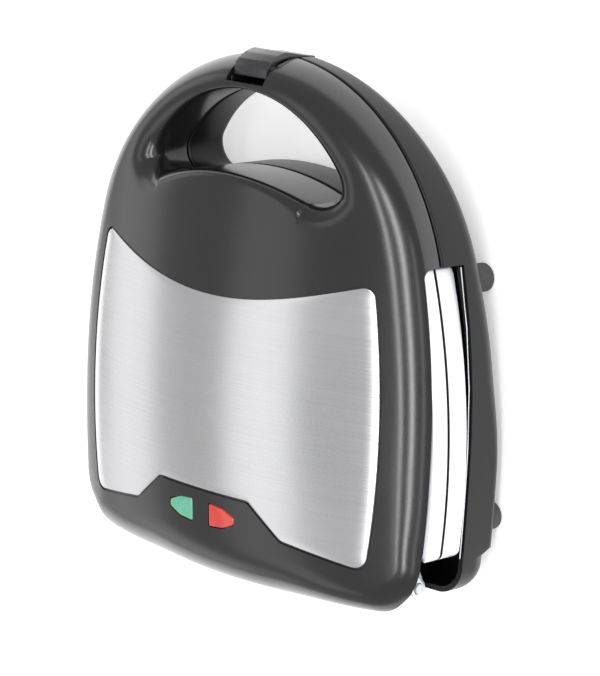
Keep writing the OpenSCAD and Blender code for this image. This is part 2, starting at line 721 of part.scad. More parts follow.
module hinge_lug() {
    lean = [0.7, 0.6] * lug_r;
    difference() {
        union() {
            bar_x(lug_x[0], lug_x[1], hinge_at, lug_r);
            across(lug_x[0], lug_x[1]) polygon([
                [plate_y[1] - 1.5, 0.8], [plate_y[1] - 1.5, 8.5], [plate_y[1] + 6, 7.5],
                hinge_at + lean, hinge_at - lean
            ]);
        }
        bar_x(lug_x[0] - 1, lug_x[1] + 1, hinge_at, pin_r + pin_play);
    }
}
module upper_plate() color("#dcdfe6") {
    above_seam() plate(upper_rim_h);
    both_sides() hinge_lug();
}
module lower_plate() color("#dcdfe6") below_seam() plate(lower_rim_h);

// Heating element: a tube bent to a U on the backs of the pockets, with a pin at each end
leg_x = pocket_c.x + 2;
bend_r = 14;
bend_y = plate_y[1] - 46.5;
leg_y = plate_y[0] - 6;
rod_pin_r = 1.2;
rod_pin_l = 6;
module heater() {
    translate([0, 0, rod_h]) {
        both_sides() {
            translate([leg_x, leg_y, 0]) rotate([-90, 0, 0]) cylinder(r = rod_r, h = bend_y - leg_y);
            translate([leg_x, leg_y - rod_pin_l + 1, 0]) rotate([-90, 0, 0]) cylinder(r = rod_pin_r, h = rod_pin_l);
            translate([leg_x - bend_r, bend_y, 0])
                rotate_extrude(angle = 90) translate([bend_r, 0]) circle(r = rod_r);
        }
        translate([bend_r - leg_x, bend_y + bend_r, 0]) rotate([0, 90, 0])
            cylinder(r = rod_r, h = 2 * (leg_x - bend_r));
    }
}
module upper_heater() color("#8d8f92") above_seam() heater();
module lower_heater() color("#8d8f92") below_seam() heater();

// Heat shield: one sheet folded to a shallow channel, its flanges at the edges of the plates
fold_x = [side_x - 47.5, side_x - 17.5];
module shield(half, flange_h, shield_h, inset, y0, y1) {
    lean = 0.3;
    difference() {
        intersection() {
            translate([0, y1, 0]) rotate([90, 0, 0]) linear_extrude(y1 - y0) polygon([
                [-body_w, flange_h], [-fold_x[1], flange_h], [-fold_x[0], shield_h],
                [fold_x[0], shield_h], [fold_x[1], flange_h], [body_w, flange_h],
                [body_w, flange_h + sheet_t], [fold_x[1] + lean, flange_h + sheet_t],
                [fold_x[0] + lean, shield_h + sheet_t], [-fold_x[0] - lean, shield_h + sheet_t],
                [-fold_x[1] - lean, flange_h + sheet_t], [-body_w, flange_h + sheet_t]
            ]);
            linear_extrude(shield_h + 5) polygon(ring(half, inset));
        }
        for (at = plate_spots) post(at, 5, shield_h + 5, post_r + 0.3);
    }
}
module upper_heat_shield() color("#c4c6ca") {
    above_seam() shield(lid_half, upper_rim_h + 1.2, lid_shield_h, wall + 6, plate_y[0] + 2, plate_y[1] - 2);
}
module lower_heat_shield() color("#c4c6ca") {
    below_seam() shield(base_half, lower_rim_h + sheet_gap, base_shield_h, 0.8, plate_y[0] + 0.5, plate_y[1] + 1);
}

// Base
base_rim = lower_rim_h + sheet_gap + sheet_t + 1;
rear_wall_hw = lug_x[0] - 1.5;
tower_w = 5.5;
tower_r = 4.4;
tower = [lug_x[0] - 0.6 - tower_w, lug_x[0] - 0.6];
foot_spots = [
    [side_x - front_foot_inset, plate_y[0] + 10],
    [side_x - rear_foot_inset, plate_y[1] - 12.5]
];
foot_deep = 3;
socket_t = 1.5;
gland_h = 23;
terminal_post = [11, front_y + 68];
terminal_z = 20;
terminal_h = 11;
module base_window() {
    y0 = plate_y[0] - window_gap;
    both_sides() across(rear_wall_hw, body_w) polygon([[y0, -base_rim], [body_l, -base_rim], [body_l, 5], [y0, 5]]);
}
SEAT_BACK = [[7, -half_gap], [7, -15], [9, -15.8], [9, -half_gap]];
SEAT_RIB = [[4.2, nose_h + 0.5], [7.5, nose_h + 0.5], [7.5, -5], [4.2, -7]];
SEAT_CHEEK = [[1.5, -half_gap], [1.5, -10.5], [5, -13.4], [9, -15.6], [9, -half_gap]];
module clip_seat() {
    hw = pocket_hw + cheek_t;
    across(-hw, hw) translate([front_y, 0]) polygon(SEAT_BACK);
    across(-pocket_hw - 0.5, pocket_hw + 0.5) translate([front_y, 0]) polygon(SEAT_RIB);
    both_sides() across(pocket_hw, hw) translate([front_y, 0]) polygon(SEAT_CHEEK);
}
// A tower at each end of the rear wall, which holds the inner end of a hinge pin
module base_tower() {
    y = hinge_y - tower_r;
    bar_x(tower[0], tower[1], hinge_at, tower_r);
    across(tower[0], tower[1]) polygon([
        [y - 3, -28], [y - 3, -10], hinge_at + [-0.75, 0.66] * tower_r, hinge_at + [0.99, -0.14] * tower_r,
        [base_rear_y - 1, -16], [base_rear_y - 1.5, -28]
    ]);
}
module foot_socket(at) {
    post(at, floor_z(at) + wall, floor_z(at) + foot_deep + wall, foot_r + socket_t);
}
module base_shell() color("#3e3e40") {
    difference() {
        union() {
            difference() {
                housing(base_half, base_rounds, flares(base_flare, base_flare, base_round), -1);
                base_window();
                span([-pocket_hw, front_y - 10, seam_z - clip_drop - 1], [pocket_hw, front_y + 5, seam_z + 5]);
            }
            clip_seat();
            both_sides() {
                base_tower();
                for (at = foot_spots) foot_socket(at);
                post(terminal_post, floor_z(terminal_post) + 1, terminal_z, 3.5);
            }
            below_seam() {
                both_sides() cover_post(cover_spot, seam_z - floor_z(cover_spot) - post_skin);
                for (at = plate_spots) plate_post(at, seam_z - floor_z(at) - post_skin, base_shield_h);
            }
        }
        both_sides() {
            bar_x(tower[0] - 5, tower[1] + 1, hinge_at, pin_r + screw_play);
            for (at = foot_spots) post(at, -1, floor_z(at) + foot_deep + seat_gap, foot_r + seat_gap);
        }
        translate([0, base_rear_y + 5, seam_z - gland_h]) rotate([90, 0, 0])
            cylinder(r = cord_r + gland_t + seat_gap, h = 12);
    }
}
pin_head = 0.8;
module hinge_pins() color("#a9abae") {
    both_sides() bar_x(tower[0] + 0.2, lug_x[1] + pin_head, hinge_at, pin_r);
}
module rubber_feet() color("#2b2b2c") both_sides() for (at = foot_spots) {
    bevel = 0.8;
    translate([at.x, at.y, 0]) {
        cylinder(r1 = foot_r - bevel, r2 = foot_r, h = bevel);
        translate([0, 0, bevel]) cylinder(r = foot_r, h = floor_z(at) + foot_deep - bevel);
    }
}
gland_t = 1.3;
flange_t = 0.9;
module cord_gland() color("#2b2b2c") {
    translate([0, base_rear_y, seam_z - gland_h]) rotate([90, 0, 0]) difference() {
        union() {
            translate([0, 0, -1 - seat_gap]) cylinder(r = cord_r + gland_t + flange_t, h = 1);
            translate([0, 0, -1]) cylinder(r = cord_r + gland_t, h = 9);
            translate([0, 0, wall + 0.3]) cylinder(r = cord_r + gland_t + flange_t, h = 2);
        }
        translate([0, 0, -3]) cylinder(r = cord_r, h = 15);
    }
}

// Electrical parts at the back of the lower plate and in the front of the base
stat_y = pocket_c.y;
stat_r = 8;
module thermostat() color("#d9d4c6") below_seam() {
    span([-18, stat_y - 5, back_h + seat_gap], [18, stat_y + 5, back_h + 1]);
    post([0, stat_y], back_h + 0.9, back_h + 6, stat_r);
    both_sides() span([3, stat_y - 2, back_h + 5.9], [3.8, stat_y + 2, back_h + stat_h]);
}
fuse_r = 1.9;
fuse_l = 34;
lead_r = 0.6;
lead_l = 48;
module thermal_fuse() color("#c9a24a") below_seam() {
    translate([0, stat_y - 16, back_h + fuse_r + seat_gap]) rotate([0, 90, 0]) {
        cylinder(r = fuse_r, h = fuse_l, center = true);
        cylinder(r = lead_r, h = lead_l, center = true);
    }
}
module terminal_block() color("#e6e2d6") {
    y = terminal_post.y;
    difference() {
        span([-15, y - 5.5, terminal_z + seat_gap], [15, y + 5.5, terminal_z + terminal_h]);
        for (x = [-10, 0, 10]) {
            post([x, y], terminal_z + 4, terminal_z + terminal_h + 1, 2.4);
            translate([x, y - 6, terminal_z + 6]) rotate([-90, 0, 0]) cylinder(r = 1.7, h = 12);
        }
    }
}

lid_shell();
steel_panel();
green_lamp_lens();
red_lamp_lens();
lamp_holder();
neon_lamps();
lid_handle_cover();
upper_plate();
upper_heater();
upper_heat_shield();
lid_screws();
latch_clip();
latch_pin();
base_shell();
base_handle_cover();
lower_plate();
lower_heater();
lower_heat_shield();
base_screws();
hinge_pins();
thermostat();
thermal_fuse();
terminal_block();
cord_gland();
rubber_feet();
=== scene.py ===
# %% [markdown]
# # A sandwich toaster with an arched handle
# The toaster lies closed on its feet. The handle points to -Y, the hinge is at +Y and the lid is on top.
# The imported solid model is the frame: every visible piece below rides on one of its bodies,
# so the lid and the clip turn in Blender exactly as they do in the solid model.

# %% Load the frame
import bpy
import json
import math
import numpy as np
from mathutils import Matrix, Vector
from mathutils.geometry import delaunay_2d_cdt

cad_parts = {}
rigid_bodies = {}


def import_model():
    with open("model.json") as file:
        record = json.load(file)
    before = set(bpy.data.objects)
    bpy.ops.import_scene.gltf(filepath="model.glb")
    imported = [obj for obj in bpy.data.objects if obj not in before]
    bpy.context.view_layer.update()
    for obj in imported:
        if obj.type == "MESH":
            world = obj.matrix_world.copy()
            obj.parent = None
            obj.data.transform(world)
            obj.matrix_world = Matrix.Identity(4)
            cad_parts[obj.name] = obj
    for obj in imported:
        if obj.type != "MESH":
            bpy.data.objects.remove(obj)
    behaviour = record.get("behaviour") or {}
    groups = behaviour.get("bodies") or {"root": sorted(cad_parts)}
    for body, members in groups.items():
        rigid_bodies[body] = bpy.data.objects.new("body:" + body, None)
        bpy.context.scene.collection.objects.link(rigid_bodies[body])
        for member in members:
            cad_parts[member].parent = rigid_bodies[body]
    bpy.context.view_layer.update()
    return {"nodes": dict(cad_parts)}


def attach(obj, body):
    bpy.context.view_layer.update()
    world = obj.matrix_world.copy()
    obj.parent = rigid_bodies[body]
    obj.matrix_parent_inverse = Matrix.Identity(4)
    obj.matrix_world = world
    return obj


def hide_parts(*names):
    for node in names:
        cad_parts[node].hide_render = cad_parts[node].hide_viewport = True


for obj in list(bpy.data.objects):
    bpy.data.objects.remove(obj)
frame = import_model()

# %% [markdown]
# ## Sizes
# All the sizes are in millimetres, the same as in the solid model. `MM` turns them into metres.
# The outlines are the same arcs as in the solid model, drawn with `FINE` times as many points.

# %% Sizes
MM = 0.001
FINE = 4
BODY_W = 227.0
BODY_L = 242.0
LID_H = 41.0
BASE_H = 35.0
FOOT_H = 7.0
WALL = 2.5
SEAM_GAP = 1.0
LIP_R = 1.2
CLIP_BULGE = 2.0
SEAM = BASE_H + FOOT_H
FRONT = CLIP_BULGE - BODY_L / 2
REAR = BODY_L / 2
BASE_REAR = REAR - 10.5
ARCH_R = 107.0
SIDE_R = 330.0
REAR_SIDE_R = 1000.0
CROSS_CROWN_R = 252.0
LONG_CROWN_R = 800.0
CROWN_Y = 38.0
BAR_W = 15.0
HOLE_R = ARCH_R - 38.5
HOLE_L = 36.0
LEDGE_R = 140.0
HOLE_END_R = 9.0
FRONT_DIP, FRONT_ROUND, FRONT_DROP = 7.5, 11.5, 17.0
SIDE_ROUND, CORNER_ROUND, REAR_ROUND = 8.0, 14.0, 24.0
# The lid's sides turn over a little wider than high, as the two soft highlights in the photo show
SHOULDER = 13.5
BASE_ROUND, BASE_SIDE_ROUND, PAD_ROUND, BASE_CORNER_ROUND = 8.0, 11.0, 5.0, 14.0
LID_FLARE, LEDGE_FLARE, BASE_FLARE, MID_FLARE = 17.0, 7.0, 4.0, 3.5
PLATE_FRONT, PLATE_REAR = -38.0, 90.5
UPPER_RIM, LOWER_RIM = 9.8, 11.3
HINGE_Y, HINGE_H, PIN_R, LUG_R = 107.5, -4.0, 2.4, 4.4
print("seam at", SEAM, "front", FRONT, "rear", REAR)

# %% [markdown]
# ## Outlines
# An outline is half of a closed curve, from the front on the middle line round the +X side to the rear.
# Each point is kept as an arc's centre, its radius, an angle and the side on which the wall lies,
# so the curve can be moved into the wall without any loss of shape.

# %% Outlines
def direction(angle):
    return np.array([math.cos(angle), math.sin(angle)])


def crossing(c1, r1, c2, r2):
    """Where two circles cross, on the +X side when the first lies nearer the rear."""
    d = np.linalg.norm(c2 - c1)
    e = (c2 - c1) / d
    a = (d * d + r1 * r1 - r2 * r2) / (2 * d)
    return c1 + e * a + np.array([-e[1], e[0]]) * math.sqrt(r1 * r1 - a * a)


def angle_to(a, b):
    return math.atan2(b[1] - a[1], b[0] - a[0])


def arc(centre, radius, start, end, count, sign):
    return [(centre, radius, start + (end - start) * k / count, sign) for k in range(count)]


# How many points each stretch of an outline has
EDGE_N, END_N, LEDGE_N = 12 * FINE, 8 * FINE, 12 * FINE
ARCH_N, SIDE_N, REAR_SIDE_N, CORNER_N, REAR_N = (n * FINE for n in (4, 3, 4, 5, 4))
ARCH_C = np.array([0.0, FRONT + ARCH_R])
SIDE_CX = BODY_W / 2 - SIDE_R
SIDE_CY = ARCH_C[1] + math.sqrt((SIDE_R - ARCH_R) ** 2 - SIDE_CX ** 2)
EDGE_C = np.array([0.0, FRONT + BAR_W + HOLE_R])
LEDGE_C = np.array([0.0, FRONT + BAR_W + HOLE_L + LEDGE_R])
END_C = crossing(LEDGE_C, LEDGE_R + HOLE_END_R, EDGE_C, HOLE_R - HOLE_END_R)
EDGE_END = angle_to(EDGE_C, END_C)
LEDGE_END = angle_to(END_C, LEDGE_C)
RIGHT = math.radians(-90)


def half_hole():
    """Half of the hole under the handle: front edge, end and ledge."""
    return (
        arc(EDGE_C, HOLE_R, RIGHT, EDGE_END, EDGE_N, 1)
        + arc(END_C, HOLE_END_R, EDGE_END, LEDGE_END, END_N, 1)
        + arc(LEDGE_C, LEDGE_R, LEDGE_END - math.pi, RIGHT, LEDGE_N, -1)
        + [(LEDGE_C, LEDGE_R, RIGHT, -1)]
    )


def half_outline(rear, corner, rear_r):
    """Half of the housing's outline: arch, bowed side, rear side, corner and rear edge."""
    side_c = np.array([SIDE_CX, SIDE_CY])
    back_c = np.array([BODY_W / 2 - REAR_SIDE_R, SIDE_CY])
    rear_c = np.array([0.0, rear - rear_r])
    corner_c = crossing(back_c, REAR_SIDE_R - corner, rear_c, rear_r - corner)
    a1 = angle_to(side_c, ARCH_C)
    a2 = angle_to(back_c, corner_c)
    a3 = angle_to(rear_c, corner_c)
    facing = [angle_to(ARCH_C, EDGE_C + HOLE_R * direction(RIGHT + (EDGE_END - RIGHT) * k / EDGE_N))
              for k in range(EDGE_N + 1)]
    return (
        [(ARCH_C, ARCH_R, a, -1) for a in facing[:-1]]
        + arc(ARCH_C, ARCH_R, facing[-1], a1, ARCH_N, -1)
        + arc(side_c, SIDE_R, a1, 0, SIDE_N, -1)
        + arc(back_c, REAR_SIDE_R, 0, a2, REAR_SIDE_N, -1)
        + arc(corner_c, corner, a2, a3, CORNER_N, -1)
        + arc(rear_c, rear_r, a3, math.pi / 2, REAR_N, -1)
        + [(rear_c, rear_r, math.pi / 2, -1)]
    )


def place(half, d=0.0):
    """Places of a half outline, each moved its own distance into the wall."""
    d = np.broadcast_to(np.asarray(d, float), (len(half),))
    return np.array([c + (r + s * x) * direction(a) for (c, r, a, s), x in zip(half, d)])


def whole(values):
    """A closed list from the values of half an outline."""
    values = np.asarray(values)
    return np.concatenate([values, values[-2:0:-1]])


def ring(half, d=0.0):
    h = place(half, d)
    back = h[-2:0:-1] * [-1, 1]
    return np.concatenate([h, back])


LID_HALF = half_outline(REAR, 28.0, 1200.0)
BASE_HALF = half_outline(BASE_REAR, 14.0, 6000.0)
HOLE_HALF = half_hole()
print("points in an outline", len(ring(LID_HALF)), "half width of the hole", round(END_C[0] + HOLE_END_R, 1))

# %% [markdown]
# ## Curved faces
# The lid's face is a surface of revolution with a crown both ways.
# The base's underside is flat under the plates and rises towards the handle.

# %% Curved faces
def sag(r, x):
    return r - np.sqrt(r * r - x * x)


DIP_Y = FRONT + 79


def face_z(p):
    spin = LONG_CROWN_R - sag(CROSS_CROWN_R, p[..., 0])
    dip = FRONT_DIP * np.clip((DIP_Y - p[..., 1]) / (DIP_Y - FRONT), 0, 1) ** 2
    return SEAM + LID_H - LONG_CROWN_R + np.sqrt(spin ** 2 - (p[..., 1] - CROWN_Y) ** 2) - dip


def floor_z(p):
    t = np.clip((32.0 - p[..., 1]) / (32.0 - FRONT), 0, 1)
    return FOOT_H + 20.0 * t ** 1.5


def smooth(t):
    t = np.clip(t, 0, 1)
    return t * t * (3 - 2 * t)


def mix(a, b, t):
    return a + (b - a) * t


def lid_rounds():
    """Width and height of the lid's edge rounding at each point, from the handle to the rear."""
    out = []
    for p in place(LID_HALF):
        room = face_z(p) - SEAM - SEAM_GAP / 2 - LIP_R - 0.1
        if p[1] < 0:
            w = mix(FRONT_ROUND, SHOULDER, smooth((p[1] - FRONT - 30) / 50))
            h = mix(FRONT_DROP, SIDE_ROUND, smooth((p[1] - FRONT - 10) / 60))
        elif p[1] < REAR - 28:
            t = smooth((p[1] - REAR + 60) / 50)
            w, h = mix(SHOULDER, CORNER_ROUND, t), mix(SIDE_ROUND, CORNER_ROUND, t)
        else:
            w = h = mix(CORNER_ROUND, REAR_ROUND, smooth((BODY_W / 2 - 18.5 - p[0]) / 60))
        out.append((min(room, w), min(room, h)))
    return np.array(out)


PAD_START, PAD_END = 10.0, 90.0


def base_rounds():
    """The same for the base: tight along the pads of the rear feet, which end in a step."""
    out = []
    for x, y in place(BASE_HALF):
        if y < PAD_START:
            r = mix(BASE_ROUND, BASE_SIDE_ROUND, smooth((y - FRONT - 39) / 50))
        elif y < PAD_END:
            r = mix(BASE_SIDE_ROUND, PAD_ROUND, smooth((y - PAD_START) / 45))
        else:
            r = mix(BASE_CORNER_ROUND, BASE_ROUND, smooth((BODY_W / 2 - 18.5 - x) / 40))
        out.append((r, r))
    return np.array(out)


def flares(end, ledge, edge):
    """The flare of the face into the hole: widest at the ends of the bar, fading towards the ledge."""
    out = []
    for i, p in enumerate(place(HOLE_HALF)):
        room = ARCH_R - np.linalg.norm(p - ARCH_C) - edge - 0.5
        t = np.clip(p[0] / (END_C[0] + HOLE_END_R), 0, 1) ** 2
        if i < EDGE_N:
            f = mix(MID_FLARE, end, t)
        elif i < EDGE_N + END_N:
            f = mix(end, ledge, smooth((i - EDGE_N) / END_N - 0.1))
        else:
            f = mix(MID_FLARE, ledge, t)
        out.append((min(room, f),) * 2)
    return np.array(out)


print("lid height at the crown", round(float(face_z(np.array([0.0, CROWN_Y]))), 2))
# %% [markdown]
# ## Mesh helpers
# `grid` joins rings of points into a surface, `solid` makes an object from points and faces,
# and `cut` takes cutters out of an object for good.

# %% Mesh helpers
def grid(rings, closed=True, wrap=False, flip=False):
    """Faces between rings of equally many points. wrap also joins the last ring to the first."""
    rows, n = len(rings), len(rings[0])
    faces = []
    for j in range(rows if wrap else rows - 1):
        for i in range(n if closed else n - 1):
            a, b = j * n + i, j * n + (i + 1) % n
            c, d = ((j + 1) % rows) * n + (i + 1) % n, ((j + 1) % rows) * n + i
            faces.append((a, d, c, b) if flip else (a, b, c, d))
    return np.concatenate(rings), faces


def join(*parts):
    """One list of points and faces from several."""
    points, faces, base = [], [], 0
    for p, f in parts:
        points.append(np.asarray(p, float))
        faces += [tuple(base + i for i in face) for face in f]
        base += len(p)
    return np.concatenate(points), faces


def solid(name, points, faces, angle=32):
    """An object from points in millimetres. Edges sharper than the angle stay sharp."""
    mesh = bpy.data.meshes.new(name)
    mesh.from_pydata((np.asarray(points, float) * MM).tolist(), [], faces)
    mesh.validate()
    obj = bpy.data.objects.new(name, mesh)
    bpy.context.scene.collection.objects.link(obj)
    tidy(obj, angle)
    return obj


def tidy(obj, angle=32):
    """Outward normals and smooth faces between the sharp edges."""
    import bmesh
    bm = bmesh.new()
    bm.from_mesh(obj.data)
    bmesh.ops.remove_doubles(bm, verts=bm.verts, dist=1e-6)
    bmesh.ops.recalc_face_normals(bm, faces=bm.faces)
    bm.to_mesh(obj.data)
    bm.free()
    obj.data.shade_smooth()
    obj.data.set_sharp_from_angle(angle=math.radians(angle))


def settle(obj, angle=32):
    """Makes the modifiers part of the mesh."""
    deps = bpy.context.evaluated_depsgraph_get()
    mesh = bpy.data.meshes.new_from_object(obj.evaluated_get(deps))
    obj.modifiers.clear()
    obj.data = mesh
    tidy(obj, angle)


def cut(obj, *cutters, angle=32):
    for c in cutters:
        m = obj.modifiers.new("cut", "BOOLEAN")
        m.operation = "DIFFERENCE"
        m.solver = "EXACT"
        m.object = c
    settle(obj, angle)
    for c in cutters:
        bpy.data.objects.remove(c)


def soften(obj, width, segments=2, angle=32):
    """Rounds the sharp edges of a piece."""
    m = obj.modifiers.new("soften", "BEVEL")
    m.width = width * MM
    m.segments = segments
    m.limit_method = "ANGLE"
    m.angle_limit = math.radians(angle)
    m.harden_normals = False
    settle(obj, angle + 15)


def prism(name, outline, low, high, plane="xy", angle=32):
    """A closed outline pushed from low to high. plane yz is drawn as (y, height over the seam) and runs along X."""
    outline = np.asarray(outline, float)
    n = len(outline)
    rings = []
    for level in (low, high):
        if plane == "xy":
            rings.append(np.column_stack([outline, np.full(n, level)]))
        else:
            rings.append(np.column_stack([np.full(n, level), outline[:, 0], outline[:, 1] + SEAM]))
    points, faces = grid(rings)
    faces += [tuple(range(n)), tuple(range(2 * n - 1, n - 1, -1))]
    return solid(name, points, faces, angle)


def rounded(ps, radii, steps=6):
    """An outline with rounded corners. A radius of 0 keeps the corner."""
    ps = [np.asarray(p, float) for p in ps]
    if not hasattr(radii, "__len__"):
        radii = [radii] * len(ps)
    out = []
    for i, (b, r) in enumerate(zip(ps, radii)):
        a, c = ps[i - 1], ps[(i + 1) % len(ps)]
        if r == 0:
            out.append(b)
            continue
        u = (a - b) / np.linalg.norm(a - b)
        v = (c - b) / np.linalg.norm(c - b)
        half = math.acos(max(-1, min(1, float(u @ v)))) / 2
        mid = (u + v) / np.linalg.norm(u + v)
        m = b + mid * r / math.sin(half)
        s = angle_to(m, b + u * r / math.tan(half))
        e = angle_to(m, b + v * r / math.tan(half))
        turn = (e - s + 3 * math.pi) % (2 * math.pi) - math.pi
        out += [m + r * direction(s + turn * k / steps) for k in range(steps + 1)]
    return np.array(out)


def lathe(name, profile, at, axis="z", steps=48, angle=32):
    """Turns a profile of (radius, height) about an axis through a place."""
    rings = []
    for r, h in profile:
        a = np.arange(steps) * 2 * math.pi / steps
        ring_points = np.column_stack([r * np.cos(a), r * np.sin(a), np.full(steps, h)])
        rings.append(ring_points)
    points, faces = grid(rings, flip=True)
    if profile[0][0] > 1e-6:
        faces.append(tuple(range(steps)))
    if profile[-1][0] > 1e-6:
        faces.append(tuple(reversed(range(len(points) - steps, len(points)))))
    if axis == "x":
        points = points[:, [2, 0, 1]]
    if axis == "y":
        points = points[:, [1, 2, 0]]
    return solid(name, points + np.asarray(at, float), faces, angle)


def mirrored(ps):
    """An outline on the +X side, carried over to the -X side."""
    return (np.asarray(ps, float) * [-1, 1])[::-1]


# %% [markdown]
# ## The housing halves
# Each half is one wall: an outer skin and an inner skin that meet at the seam.
# A skin starts at the rim, turns over the rounded edge, crosses the face and flares into the handle hole.
# A small radius at each rim opens the seam into the dark line with two bright edges that the photo shows.

# %% The housing halves
LIP = [(LIP_R * (1 - math.sin(a)), LIP_R * (1 - math.cos(a))) for a in np.radians((0, 25, 50, 70, 90))]


def skin(half, rounds, flare, up, inset, arcs, spans, rim_z, lip):
    height = (lambda p: face_z(p) - inset) if up > 0 else (lambda p: floor_z(p) + inset)

    def band(h, rs, t):
        ps = ring(h, rs[:, 0] - (rs[:, 0] - inset) * math.cos(t))
        drop = whole(rs[:, 1] - inset) * (1 - math.sin(t))
        return np.column_stack([ps, height(ps) - up * drop])

    def rim(h, d, z):
        ps = ring(h, d)
        return np.column_stack([ps, np.full(len(ps), z)])

    turns = [math.pi / 2 * k / arcs for k in range(arcs + 1)]
    a, b = band(half, rounds, math.pi / 2), band(HOLE_HALF, flare, math.pi / 2)
    out = [rim(half, d, rim_z + up * z) for d, z in lip] if lip else [rim(half, inset, rim_z)]
    out += [band(half, rounds, t) for t in turns]
    for k in range(1, spans):
        p = mix(a[:, :2], b[:, :2], k / spans)
        out.append(np.column_stack([p, height(p)]))
    out += [band(HOLE_HALF, flare, t) for t in reversed(turns)]
    out += [rim(HOLE_HALF, d, rim_z + up * z) for d, z in reversed(lip)] if lip else [rim(HOLE_HALF, inset, rim_z)]
    return out


def housing(name, half, rounds, flare, up):
    rim_z = SEAM + up * SEAM_GAP / 2
    outer = skin(half, rounds, flare, up, 0.0, 10, 20, rim_z, LIP)
    inner = skin(half, rounds, flare, up, WALL, 4, 6, rim_z, None)
    points, faces = grid(outer + inner[::-1], wrap=True)
    return solid(name, points, faces)


lid = housing("lid_body", LID_HALF, lid_rounds(), flares(LID_FLARE, LEDGE_FLARE, FRONT_ROUND), 1)
base = housing("base_body", BASE_HALF, base_rounds(), flares(BASE_FLARE, BASE_FLARE, BASE_ROUND), -1)
print("lid faces", len(lid.data.polygons), "base faces", len(base.data.polygons))

# %% [markdown]
# ## Openings in the housing
# The sides of both halves are cut away for the bright rims of the cooking plates.
# The lid also gets the pocket of the clip, the recess of the steel panel and two holes for the lamps.

# %% Openings in the housing
def box_x(name, x1, x2, outline, angle=32):
    return prism(name, outline, x1, x2, "yz", angle)


def window(name, x1, top, radius):
    """A cutter for one side, open towards the seam and the rear."""
    y0 = PLATE_FRONT - 0.5
    return [box_x(name, a, b, rounded([(y0, -5 * s), (y0, top), (150, top), (150, -5 * s)], [0, radius, 0, 0], 10))
            for s in [math.copysign(1, top)] for a, b in ((x1, 130), (-130, -x1))]


POCKET_HW, POCKET_DEEP = 11.8, 12.0


def loft_down(name, outline, depth, top, centre, steps=8):
    """A cutter or plate under the lid's crowned face: its floor follows the face, depth below it."""
    outline = np.asarray(outline, float)
    rings = [np.column_stack([outline, np.full(len(outline), top)])]
    for k in range(steps):
        p = centre + (outline - centre) * (1 - k / steps)
        rings.append(np.column_stack([p, face_z(p) - depth]))
    points, faces = grid(rings)
    n = len(outline)
    mid = np.array(centre, float)
    points = np.concatenate([points, [[*mid, float(face_z(mid)) - depth]]])
    last = len(points) - 1
    start = steps * n
    faces += [(start + i, start + (i + 1) % n, last) for i in range(n)]
    faces.append(tuple(reversed(range(n))))
    return solid(name, points, faces)


def panel_x(y):
    return 86.0 + 7.0 * (1 - ((y - CROWN_Y) / 68.0) ** 2)


def panel_front(x):
    return FRONT + 105.1 - 0.00267 * x * x + 2.8 * (x / 81.0) ** 4


def panel_outline():
    half = [(x, panel_front(x), 0) for x in range(4, 82, 4)]
    half += [(86.0, panel_front(86.0), 5)]
    half += [(panel_x(y), y, 0) for y in range(-18, 88, 6)]
    half += [(panel_x(96.6), 96.6, 6), (47.0, 90.2, 6), (28.9, 75.4, 5)]
    corners = half + [(-x, y, r) for x, y, r in reversed(half)]
    return rounded([(x, y) for x, y, r in corners], [r for x, y, r in corners], 8)


def dense(outline, step):
    """The same outline with extra points on its long edges, so that the sheet bends between them."""
    out = []
    for a, b in zip(outline, np.roll(outline, -1, 0)):
        count = max(1, int(np.linalg.norm(b - a) / step))
        out += [mix(a, b, k / count) for k in range(count)]
    return np.array(out)


def grown(outline, d):
    """An outline moved outwards by d, corner by corner."""
    p = np.asarray(outline, float)
    e1 = p - np.roll(p, 1, 0)
    e2 = np.roll(p, -1, 0) - p
    n1 = np.column_stack([e1[:, 1], -e1[:, 0]]) / np.linalg.norm(e1, axis=1)[:, None]
    n2 = np.column_stack([e2[:, 1], -e2[:, 0]]) / np.linalg.norm(e2, axis=1)[:, None]
    n = n1 + n2
    n /= np.linalg.norm(n, axis=1)[:, None]
    return p + n * (d / np.clip((n * n1).sum(1), 0.5, 1))[:, None]


LENS_Y = 86.7
LENS = rounded([(5.5, -5.35), (14.0, -4.55), (21.0, -1.6), (21.0, 1.6), (14.0, 4.55), (5.5, 5.35)],
               [1, 5, 1.5, 1.5, 5, 1], 6) + [0, LENS_Y]
PANEL = dense(panel_outline(), 3.0)
PANEL_C = np.array([0.0, 34.0])

cutters = window("cut", 75.0, UPPER_RIM + 0.5, 4)
y1, y2 = FRONT - 10, FRONT + POCKET_DEEP
cutters.append(box_x("cut", -POCKET_HW, POCKET_HW, [(y1, -5), (y1, LID_H), (y2, LID_H), (y2, -5)]))
cutters.append(loft_down("cut", grown(PANEL, 1.1), 0.75, SEAM + LID_H + 2, PANEL_C))
for side in (LENS, mirrored(LENS)):
    cutters.append(prism("cut", grown(side, 0.4), SEAM + 20, SEAM + LID_H + 2))
cut(lid, *cutters)
BASE_RIM = LOWER_RIM + 2.8
cutters = window("cut", 85.5, -BASE_RIM, 0)
cutters.append(box_x("cut", -POCKET_HW, POCKET_HW, [(y1, 5), (FRONT + 5, 5), (FRONT + 5, -12.5), (y1, -12.5)]))
cutters.append(lathe("cut", [(4.35, -7), (4.35, 7)], (0, BASE_REAR, SEAM - 23), "y"))
cut(base, *cutters)
print("cut lid faces", len(lid.data.polygons), "cut base faces", len(base.data.polygons))
